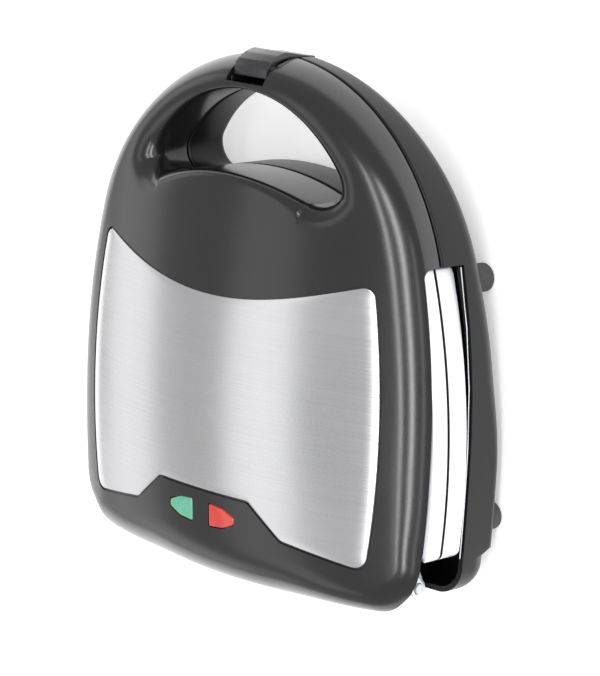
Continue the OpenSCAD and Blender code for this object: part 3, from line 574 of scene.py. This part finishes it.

# %% [markdown]
# ## Steel panel and lamps
# The panel is a thin sheet that follows the crown. Its edge is turned down a little.
# The lamp lenses stand slightly proud, with a rounded shoulder and a shallow dome.

# %% Steel panel and lamps
def panel_piece():
    steps, edge = 14, 0.35
    rings = [np.column_stack([PANEL, face_z(PANEL) - 0.6])]
    rings.append(np.column_stack([PANEL, face_z(PANEL) - edge]))
    for a in (30, 60, 90):
        p = grown(PANEL, -edge * (1 - math.cos(math.radians(a))))
        rings.append(np.column_stack([p, face_z(p) - edge * (1 - math.sin(math.radians(a)))]))
    inner = grown(PANEL, -edge)
    for k in range(1, steps):
        p = PANEL_C + (inner - PANEL_C) * (1 - k / steps)
        rings.append(np.column_stack([p, face_z(p)]))
    points, faces = grid(rings)
    n = len(PANEL)
    points = np.concatenate([points, [[*PANEL_C, float(face_z(PANEL_C))]]])
    last, start = len(points) - 1, len(points) - 1 - n
    faces += [(start + i, start + (i + 1) % n, last) for i in range(n)]
    faces.append(tuple(reversed(range(n))))
    return solid("panel_sheet", points, faces)


def lens_piece(name, outline):
    """A lens with a rounded shoulder and a shallow dome."""
    centre = outline.mean(0)
    levels = [(0.0, -4.6), (0.0, -0.35), (0.2, 0.0), (0.5, 0.22), (0.8, 0.3)]
    rings = [np.column_stack([grown(outline, -d), face_z(grown(outline, -d)) + h]) for d, h in levels]
    inner = grown(outline, -0.8)
    for k in range(1, 5):
        p = centre + (inner - centre) * (1 - k / 5)
        rings.append(np.column_stack([p, face_z(p) + 0.3 + 0.08 * math.sin(k / 5 * math.pi / 2)]))
    points, faces = grid(rings)
    n = len(outline)
    points = np.concatenate([points, [[*centre, float(face_z(centre)) + 0.385]]])
    last, start = len(points) - 1, len(points) - 1 - n
    faces += [(start + i, start + (i + 1) % n, last) for i in range(n)]
    faces.append(tuple(reversed(range(n))))
    return solid(name, points, faces)


panel = panel_piece()
green_lens = lens_piece("green_lens", LENS)
red_lens = lens_piece("red_lens", mirrored(LENS))
print("panel faces", len(panel.data.polygons))

# %% [markdown]
# ## Clip
# The clip is one moulding that turns on a pin in the handle. Its nose hooks under a rib of the base.

# %% Clip
CLIP_W, CLIP_PIN = 20.4, (5.6, 13.5)
CLIP = [
    (9.6, 18.3), (5.6, 18.5), (2.2, 16.2), (-0.5, 12.2), (-2, 7), (-1.2, 2), (0, -5), (0.6, -11.5), (2.4, -11.5),
    (5.6, -11), (5.6, -9.4), (3.4, -9.4), (2.9, -5), (2, 1), (1.2, 7), (2.6, 11.5), (5, 15), (7, 16), (9.6, 16.2)
]
CLIP_TURNS = [0.8, 2.5, 3, 4, 5, 6, 6, 0.7, 0.6, 0.5, 0.4, 0.3, 4, 4, 5, 4, 2, 1, 0.8]


def clip_piece():
    """The moulding, and the round hub of its pin behind it."""
    body = prism("clip_body", rounded([(FRONT + y, h) for y, h in CLIP], CLIP_TURNS, 5), -CLIP_W / 2, CLIP_W / 2, "yz", 25)
    hub = lathe("hub", [(3, -CLIP_W / 2), (3, CLIP_W / 2)], (0, FRONT + CLIP_PIN[0], SEAM + CLIP_PIN[1]), "x")
    m = body.modifiers.new("hub", "BOOLEAN")
    m.operation, m.solver, m.object = "UNION", "EXACT", hub
    settle(body, 25)
    bpy.data.objects.remove(hub)
    cut(body, lathe("cut", [(1.45, -20), (1.45, 20)], (0, FRONT + CLIP_PIN[0], SEAM + CLIP_PIN[1]), "x"))
    soften(body, 0.45, 3, 35)
    return body


clip = clip_piece()
print("clip faces", len(clip.data.polygons))

# %% [markdown]
# ## Cooking plates
# Each plate is one pressed skin with thickness: a flat web with four triangular pockets, and a bright rim
# around it that shows at the sides of the toaster. All its corners are rounded, as a casting's are.

# %% Cooking plates
POCKET_W, POCKET_L, RIDGE = 90.0, 102.5, 6.0
POCKET_C = np.array([(POCKET_W + RIDGE) / 2, (PLATE_REAR + PLATE_FRONT) / 2])


def triangle(s, i):
    """Half of a sandwich, i inside its edges, at POCKET_C."""
    w, l = POCKET_W / 2, POCKET_L / 2
    k = (RIDGE / 2 + i) * math.hypot(w, l)
    ps = [(i - w, l - i), (i - w, (k - (w - i) * l) / w), (((l - i) * w - k) / l, l - i)]
    return rounded([POCKET_C + s * np.array(p) for p in ps], [6, 4, 4], 8)


def pocket_levels():
    """Inset and depth from the web's edge down to the floor, with both turns rounded."""
    out = [(-0.9 + 0.9 * math.sin(math.radians(a)), 0.9 * (1 - math.cos(math.radians(a)))) for a in (0, 20, 40, 60)]
    wall = [(0.5, 1.3), (1.6, 3.3), (2.7, 5.2), (3.8, 7.0), (5.0, 8.7)]
    turn = [(5.8, 9.6), (6.7, 10.3), (7.7, 10.75), (9.0, 10.95), (10.0, 11.0)]
    return out + wall + turn


def plate_outline(front_r=2.0, rear_r=4.0):
    """Front edge, bowed sides flush with the housing, rear edge with rounded corners."""
    def side_x(y):
        return BODY_W / 2 - sag(315.0, y - 56.0)
    ys = PLATE_FRONT + (PLATE_REAR - PLATE_FRONT) * np.arange(1, 40) / 40
    half = [(side_x(PLATE_FRONT), PLATE_FRONT, front_r)] + [(side_x(y), y, 0) for y in ys]
    half += [(side_x(PLATE_REAR), PLATE_REAR, rear_r)]
    half = [p for p in half if p[2] or PLATE_FRONT + front_r < p[1] < PLATE_REAR - rear_r]
    corners = half + [(-x, y, r) for x, y, r in reversed(half)]
    return rounded([(x, y) for x, y, r in corners], [r for x, y, r in corners], 8)


EDGE_R = 0.45


def plate_piece(name, rim, up):
    outer = plate_outline()
    levels = [(EDGE_R * (1 - math.sin(a)), 0.5 + EDGE_R * (1 - math.cos(a))) for a in np.radians((0, 25, 50, 75, 90))]
    rings = [np.column_stack([grown(outer, -d), np.full(len(outer), z)]) for d, z in levels]
    front, rear = outer[:, 1] - PLATE_FRONT, PLATE_REAR - outer[:, 1]
    cut_front = 3.5 - np.sqrt(12.25 - np.clip(3.5 - front, 0, 3.5) ** 2)
    cut_rear = 3 - np.sqrt(9 - np.clip(3 - rear, 0, 3) ** 2)
    edge = np.maximum(rim - cut_front - cut_rear, 2.2)
    low = 0.5 + EDGE_R
    for t in (0.35, 0.7, 1.0):
        rings.append(np.column_stack([outer, low + (edge - low) * t]))
    points, faces = grid(rings)
    parts = [(points, faces)]
    holes = []
    for mirror in (1, -1):
        for s in (1, -1):
            loops = []
            for inset, depth in pocket_levels():
                t = triangle(s, inset)
                t = t if mirror > 0 else mirrored(t)
                loops.append(np.column_stack([t, np.full(len(t), 0.5 + depth)]))
            p, f = grid(loops)
            f.append(tuple(range(len(p) - len(loops[0]), len(p))))
            parts.append((p, f))
            holes.append(loops[0][:, :2])
    loops = [grown(outer, -EDGE_R)] + holes
    verts, edges, base_i = [], [], 0
    for loop in loops:
        n = len(loop)
        verts += [Vector(v) for v in loop]
        edges += [(base_i + i, base_i + (i + 1) % n) for i in range(n)]
        base_i += n
    flat, _, tris, _, _, _ = delaunay_2d_cdt(verts, edges, [], 1, 1e-7)

    def in_hole(c):
        for hole in holes:
            x, y = hole[:, 0] - c[0], hole[:, 1] - c[1]
            x2, y2 = np.roll(x, -1), np.roll(y, -1)
            hit = ((y > 0) != (y2 > 0)) & (x - y * (x2 - x) / np.where(y2 == y, 1, y2 - y) > 0)
            if hit.sum() % 2:
                return True
        return False
    web = [tuple(t) for t in tris if not in_hole(sum((np.array(flat[i]) for i in t), np.zeros(2)) / len(t))]
    parts.append((np.array([[v[0], v[1], 0.5] for v in flat]), web))
    points, faces = join(*parts)
    points[:, 2] = SEAM + up * points[:, 2]
    obj = solid(name, points, faces, 40)
    m = obj.modifiers.new("thick", "SOLIDIFY")
    m.thickness = 2.0 * MM
    m.offset = -1
    settle(obj, 40)
    return obj


def eye(start, end, r, steps=14):
    """Points on a circle round the hinge axis, as (y, height)."""
    return [(HINGE_Y + r * math.cos(a), HINGE_H + r * math.sin(a))
            for a in np.radians(np.linspace(start, end, steps))]


LUG = (87.0, 96.0)


def lug_pieces():
    """Hinge lugs of the upper plate: an arm that turns down to a round eye."""
    parts = []
    for side in (1, -1):
        x1, x2 = sorted((side * LUG[0], side * LUG[1]))
        outline = [(PLATE_REAR - 1.5, 0.8)] + eye(-140, 45, LUG_R) + [(PLATE_REAR + 6, 7.5), (PLATE_REAR - 1.5, 8.5)]
        obj = prism("hinge_lug", outline, x1, x2, "yz", 30)
        cut(obj, lathe("cut", [(PIN_R + 0.05, -20), (PIN_R + 0.05, 20)], ((x1 + x2) / 2, HINGE_Y, SEAM + HINGE_H), "x"))
        soften(obj, 0.5, 2)
        obj.name = "hinge_lug_left" if side > 0 else "hinge_lug_right"
        parts.append(obj)
    return parts


upper = plate_piece("upper_plate_skin", UPPER_RIM, 1)
lower = plate_piece("lower_plate_skin", LOWER_RIM, -1)
lugs = lug_pieces()
print("plate faces", len(upper.data.polygons), len(lower.data.polygons))

# %% [markdown]
# ## Towers, cheeks and the clip's seat
# These are part of the housing mouldings, but each is easier to make by itself, as a profile pushed across.
# A tower stands at each end of the base's rear wall and holds a hinge pin. Two cheeks close the clip's pocket.

# %% Towers, cheeks and the clip's seat
CHEEK_T = 2.2


def rib(name, outline, x1, x2, radius=0.4):
    """A profile of (distance behind the front, height over the seam), pushed from x1 to x2."""
    obj = prism(name, [(FRONT + y, h) for y, h in outline], x1, x2, "yz", 30)
    soften(obj, radius, 2, 35)
    return obj


def tower_piece(side):
    x1, x2 = sorted((side * 80.9, side * 86.4))
    y = HINGE_Y - LUG_R
    outline = [(BASE_REAR - 1.5, -28), (BASE_REAR - 1, -16)] + eye(-8, 138, LUG_R) + [(y - 3, -10), (y - 3, -28)]
    obj = prism("hinge_tower", outline, x1, x2, "yz", 30)
    soften(obj, 0.4, 2, 35)
    obj.name = "hinge_tower_left" if side > 0 else "hinge_tower_right"
    return obj


lid_ribs, base_ribs = [], []
for side, word in ((1, "left"), (-1, "right")):
    x1, x2 = sorted((side * POCKET_HW, side * (POCKET_HW + CHEEK_T)))
    cheek = [(1.5, 0.5), (1.5, 9), (3, 13.5), (6, 16.6), (10, 18.4), (13.5, 18.4), (13.5, 0.5)]
    lid_ribs.append(rib("lid_cheek_" + word, cheek, x1, x2))
    cheek = [(1.5, -0.5), (1.5, -10.5), (5, -13.4), (9, -15.6), (9, -0.5)]
    base_ribs.append(rib("base_cheek_" + word, cheek, x1, x2))
    base_ribs.append(tower_piece(side))
seat_hw = POCKET_HW + CHEEK_T
base_ribs.append(rib("clip_seat", [(7, -0.5), (7, -15), (9, -15.8), (9, -0.5)], -seat_hw, seat_hw))
base_ribs.append(rib("clip_rib", [(4.2, -8.9), (7.5, -8.9), (7.5, -5), (4.2, -7)], -POCKET_HW - 0.5, POCKET_HW + 0.5, 0.3))
print("ribs on the lid", len(lid_ribs), "and on the base", len(base_ribs))

# %% [markdown]
# ## Finishes
# Every finish is a small node network: a base colour that drifts a little, a roughness that varies,
# and a fine relief where the real surface has one. The scale of each pattern is in patterns per metre.

# %% Finishes
def finish(name, color, rough, metal=0.0, spread=0.06, drift=0.08, grain=None, stretch=(1, 1, 1),
           pattern=900.0, coat=0.0, anisotropic_x=0.0, coat_and_shade_side=0, **fixed):
    """A procedural material. grain is the distance of the relief in millimetres.
    The side argument is 1 or -1 when the faces that look up or down are painted dark: a real dark coating on the
    cooking plates, painted shade on the heat shields."""
    m = bpy.data.materials.new(name)
    m.use_nodes = True
    t = m.node_tree
    n, link = t.nodes, t.links.new
    shader = n["Principled BSDF"]
    shader.inputs["Metallic"].default_value = metal
    shader.inputs["Coat Weight"].default_value = coat
    for key, value in fixed.items():
        shader.inputs[key.replace("_", " ")].default_value = value
    where = n.new("ShaderNodeTexCoord")
    size = n.new("ShaderNodeMapping")
    size.inputs["Scale"].default_value = stretch
    link(where.outputs["Object"], size.inputs["Vector"])
    fine = n.new("ShaderNodeTexNoise")
    fine.inputs["Scale"].default_value = pattern
    fine.inputs["Detail"].default_value = 3.0
    link(size.outputs["Vector"], fine.inputs["Vector"])
    broad = n.new("ShaderNodeTexNoise")
    broad.inputs["Scale"].default_value = 14.0
    broad.inputs["Detail"].default_value = 4.0
    link(where.outputs["Object"], broad.inputs["Vector"])

    def ramp(source, low, high, start=0.3, stop=0.7):
        r = n.new("ShaderNodeMapRange")
        r.inputs["From Min"].default_value = start
        r.inputs["From Max"].default_value = stop
        r.inputs["To Min"].default_value = low
        r.inputs["To Max"].default_value = high
        link(source, r.inputs["Value"])
        return r.outputs["Result"]
    wear = n.new("ShaderNodeMath")
    wear.operation = "ADD"
    link(ramp(fine.outputs["Fac"], -spread, spread), wear.inputs[0])
    link(ramp(broad.outputs["Fac"], rough - spread / 2, rough + spread / 2), wear.inputs[1])
    link(wear.outputs[0], shader.inputs["Roughness"])
    tint = n.new("ShaderNodeMix")
    tint.data_type = "RGBA"
    low = [c * (1 - drift) for c in color] + [1]
    high = [min(1, c * (1 + drift)) for c in color] + [1]
    tint.inputs["A"].default_value = low
    tint.inputs["B"].default_value = high
    both = n.new("ShaderNodeMath")
    both.operation = "MULTIPLY_ADD"
    both.inputs[1].default_value = 0.5
    link(fine.outputs["Fac"], both.inputs[0])
    link(ramp(broad.outputs["Fac"], 0.0, 0.5), both.inputs[2])
    link(both.outputs[0], tint.inputs["Factor"])
    shown = tint.outputs["Result"]
    # Faces that look one way are painted dark: a real dark coating on the cooking plates, and painted shade on the heat
    # shields, whose sheet lies in shadow inside the housing.
    if coat_and_shade_side:
        facing = n.new("ShaderNodeSeparateXYZ")
        link(where.outputs["Normal"], facing.inputs["Vector"])
        aside = n.new("ShaderNodeMath")
        aside.operation = "MULTIPLY"
        aside.inputs[1].default_value = coat_and_shade_side
        link(facing.outputs["Z"], aside.inputs[0])
        amount = ramp(aside.outputs[0], 0.0, 1.0, 0.3, 0.5)
        coat_and_shade = n.new("ShaderNodeMix")
        coat_and_shade.data_type = "RGBA"
        coat_and_shade.inputs["B"].default_value = (0.02, 0.02, 0.02, 1)
        link(amount, coat_and_shade.inputs["Factor"])
        link(shown, coat_and_shade.inputs["A"])
        shown = coat_and_shade.outputs["Result"]
    link(shown, shader.inputs["Base Color"])
    if anisotropic_x:
        # Brush marks run along X, which is also the hinge's axis, so they stay put when the lid opens.
        # A quarter turn spreads the highlights across the marks.
        shader.inputs["Anisotropic Rotation"].default_value = 0.25
        shader.inputs["Anisotropic"].default_value = anisotropic_x
        along_x = n.new("ShaderNodeCombineXYZ")
        along_x.inputs["X"].default_value = 1.0
        link(along_x.outputs["Vector"], shader.inputs["Tangent"])
    if grain:
        bump = n.new("ShaderNodeBump")
        bump.inputs["Strength"].default_value = 1.0
        bump.inputs["Distance"].default_value = grain * MM
        link(fine.outputs["Fac"], bump.inputs["Height"])
        link(bump.outputs["Normal"], shader.inputs["Normal"])
    return m


black = finish("black_plastic", (0.0085, 0.0085, 0.0095), 0.21, grain=0.005, pattern=1500, drift=0.12, spread=0.03,
               Specular_IOR_Level=0.75)
black_base = finish("black_plastic_base", (0.007, 0.007, 0.008), 0.34, grain=0.008, pattern=1500, drift=0.12, spread=0.05,
                    Specular_IOR_Level=0.3)
clip_black = finish("clip_plastic", (0.026, 0.026, 0.028), 0.24, grain=0.003, pattern=1200, drift=0.1)
steel = finish("panel_steel", (0.73, 0.73, 0.745), 0.30, metal=1.0, grain=0.004, pattern=90, stretch=(0.12, 40, 0.25),
               drift=0.06, spread=0.04, anisotropic_x=0.8)
cast = dict(rough=0.42, metal=0.55, grain=0.008, pattern=700, drift=0.03, spread=0.06)
rim_metal = finish("plate_aluminium", (0.80, 0.81, 0.85), **cast)
# The cooking faces have a dark release coating; the rims and the backs are bare metal
upper_metal = finish("upper_plate_coated", (0.80, 0.81, 0.85), coat_and_shade_side=-1, **cast)
lower_metal = finish("lower_plate_coated", (0.80, 0.81, 0.85), coat_and_shade_side=1, **cast)
# The heat shields' faces that look up are painted dark: painted shade, where the sheet lies in shadow inside the
# housing.
sheet = finish("bright_sheet", (0.72, 0.73, 0.75), 0.25, metal=1.0, grain=0.004, pattern=40, stretch=(1, 40, 40), drift=0.04,
               coat_and_shade_side=1)
zinc = finish("zinc_steel", (0.55, 0.56, 0.58), 0.32, metal=1.0, grain=0.004, pattern=500, drift=0.08)
tube = finish("heater_tube", (0.20, 0.19, 0.18), 0.45, metal=1.0, grain=0.006, pattern=400, drift=0.2)
foot_rubber = finish("foot_rubber", (0.045, 0.045, 0.048), 0.62, grain=0.03, pattern=1100, drift=0.2, spread=0.08)
rubber = finish("rubber", (0.017, 0.017, 0.018), 0.75, grain=0.03, pattern=1100, drift=0.2, spread=0.08)
ivory = finish("ivory_plastic", (0.70, 0.66, 0.56), 0.5, grain=0.01, pattern=900, drift=0.04)
ceramic = finish("ceramic", (0.74, 0.70, 0.62), 0.65, grain=0.012, pattern=700, drift=0.05)
brass = finish("brass", (0.62, 0.42, 0.14), 0.3, metal=1.0, grain=0.003, pattern=600, drift=0.08)
green_glow = finish("green_lens_plastic", (0.11, 0.38, 0.25), 0.16, grain=0.12, pattern=260, drift=0.35, spread=0.03,
                    Subsurface_Weight=0.25, Coat_Weight=0.5)
red_glow = finish("red_lens_plastic", (0.60, 0.045, 0.035), 0.15, grain=0.12, pattern=260, drift=0.35, spread=0.03,
                  Subsurface_Weight=0.25, Coat_Weight=0.5)
bulb = finish("lamp_glass", (0.9, 0.72, 0.5), 0.05, grain=0.002, pattern=300, drift=0.05, Transmission_Weight=0.8)
print("finishes", len(bpy.data.materials))

# %% Finishes on the pieces
FINISH_OF = {
    "lamp_holder": ivory, "neon_lamps": bulb, "lid_handle_cover": black, "upper_heater": tube,
    "upper_heat_shield": sheet, "lid_screws": zinc, "latch_pin": zinc, "base_handle_cover": black_base,
    "lower_heater": tube, "lower_heat_shield": sheet, "base_screws": zinc, "hinge_pins": zinc,
    "thermostat": ceramic, "thermal_fuse": brass, "terminal_block": ivory, "cord_gland": rubber, "rubber_feet": foot_rubber
}


def paint(obj, material):
    obj.data.materials.clear()
    obj.data.materials.append(material)
    obj.data.shade_smooth()


for node, material in FINISH_OF.items():
    obj = frame["nodes"][node]
    obj.data.materials.clear()
    obj.data.materials.append(material)
for obj, body, node, material, slot in (
        (lid, "lid", "lid_shell", black, "black_plastic"), (base, "base", "base_shell", black_base, "black_plastic"),
        (panel, "lid", "steel_panel", steel, "panel_steel"), (green_lens, "lid", "green_lamp_lens", green_glow, "green_lens"),
        (red_lens, "lid", "red_lamp_lens", red_glow, "red_lens"), (clip, "latch", "latch_clip", clip_black, "clip_plastic"),
        (upper, "lid", "upper_plate", upper_metal, "plate_aluminium"), (lower, "base", "lower_plate", lower_metal, "plate_aluminium")):
    obj.data.materials.clear()
    obj.data.materials.append(material)
    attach(obj, body)
    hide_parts(node)
for pieces, body, material, slot in (
        (lugs, "lid", rim_metal, "plate_aluminium"), (lid_ribs, "lid", black, "black_plastic"),
        (base_ribs, "base", black_base, "black_plastic")):
    for obj in pieces:
        obj.data.materials.clear()
        obj.data.materials.append(material)
        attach(obj, body)

# %% [markdown]
# ## Camera and light
# The camera looks at the lid from the side, as the photo does, with the rear edge of the toaster at the bottom.
# Big soft lamps give the plastic and the steel their broad highlights.

# %% Camera and light
def to_frame(v):
    return Vector((-v[0], -v[1], v[2]))


YAW, PITCH, ROLL = 0.785385, 0.214290, 0.0413893
back = Vector((math.sin(YAW) * math.cos(PITCH), math.sin(PITCH), math.cos(YAW) * math.cos(PITCH)))
right0 = Vector((0, 1, 0)).cross(back).normalized()
up0 = back.cross(right0)
right = right0 * math.cos(ROLL) + up0 * math.sin(ROLL)
up = up0 * math.cos(ROLL) - right0 * math.sin(ROLL)
spot = right * 13.4302 + up * -8.7582 + back * 1439.6152
eye = Vector((-spot.x, 2.2 - spot.y, spot.z + SEAM)) * MM
axes = [to_frame(v) for v in (right, up, back)]
cam = bpy.data.objects.new("camera", bpy.data.cameras.new("camera"))
bpy.context.scene.collection.objects.link(cam)
cam.matrix_world = Matrix.Translation(eye) @ Matrix([[a[i] for a in axes] for i in range(3)]).to_4x4()
cam.data.lens = 36.0 * 3169.4567 / 676
cam.data.sensor_width = 36.0
cam.data.clip_start, cam.data.clip_end = 0.05, 20
bpy.context.scene.camera = cam
middle = Vector((0, 0.02, 0.06))


def lamp(name, toward, distance, across, along, glow, color=(1, 1, 1)):
    """A soft box. toward is its direction from the toaster; its long side lies along Y. glow is its brightness."""
    z_axis = Vector(toward).normalized()
    x_axis = (Vector((0, 1, 0)) - z_axis * z_axis.y).normalized()
    y_axis = z_axis.cross(x_axis)
    data = bpy.data.lights.new(name, "AREA")
    data.shape = "RECTANGLE"
    data.size, data.size_y = along, across
    data.energy = glow * math.pi * along * across
    data.color = color
    obj = bpy.data.objects.new(name, data)
    bpy.context.scene.collection.objects.link(obj)
    turn = Matrix([[a[i] for a in (x_axis, y_axis, z_axis)] for i in range(3)]).to_4x4()
    obj.matrix_world = Matrix.Translation(middle + z_axis * distance) @ turn
    return obj


lamp("low_box", (0.95, 0.2, 0.28), 1.3, 0.45, 2.6, 0.62)
lamp("high_box", (0.47, 0.2, 0.86), 1.3, 0.44, 2.6, 0.70)
lamp("strip", (-0.27, -0.1, 0.96), 1.2, 0.11, 1.6, 9.0)
lamp("shoulder_strip", (-0.60, -0.1, 0.79), 1.2, 0.15, 1.8, 10.0)
lamp("side_strip", (-0.86, 0.1, 0.5), 1.3, 0.10, 1.5, 2.5)
rear_box = lamp("rear_box", (-0.1, 0.95, 0.35), 1.4, 0.5, 0.5, 1.5)
rear_box.visible_glossy = False

world = bpy.data.worlds.new("studio")
bpy.context.scene.world = world
world.use_nodes = True
tree = world.node_tree
sky = tree.nodes["Background"]
sky.inputs["Color"].default_value = (1.0, 1.0, 1.0, 1)
# Soft daylight for matt surfaces, and a darker room in the reflections, as among black screens
rays = tree.nodes.new("ShaderNodeLightPath")
room = tree.nodes.new("ShaderNodeMapRange")
room.inputs["To Min"].default_value = 0.7
room.inputs["To Max"].default_value = 0.5
tree.links.new(rays.outputs["Is Glossy Ray"], room.inputs["Value"])
tree.links.new(room.outputs["Result"], sky.inputs["Strength"])
bpy.context.scene.view_settings.view_transform = "Standard"

floor_mesh = bpy.data.meshes.new("floor")
floor_mesh.from_pydata([(-4, -4, -0.0005), (4, -4, -0.0005), (4, 4, -0.0005), (-4, 4, -0.0005)], [], [(0, 1, 2, 3)])
floor = bpy.data.objects.new("floor", floor_mesh)
bpy.context.scene.collection.objects.link(floor)
floor.data.materials.append(finish("pale_floor", (0.93, 0.93, 0.93), 0.85, pattern=30, drift=0.01, spread=0.02,
                                  Emission_Color=(1, 1, 1, 1), Emission_Strength=0.38))
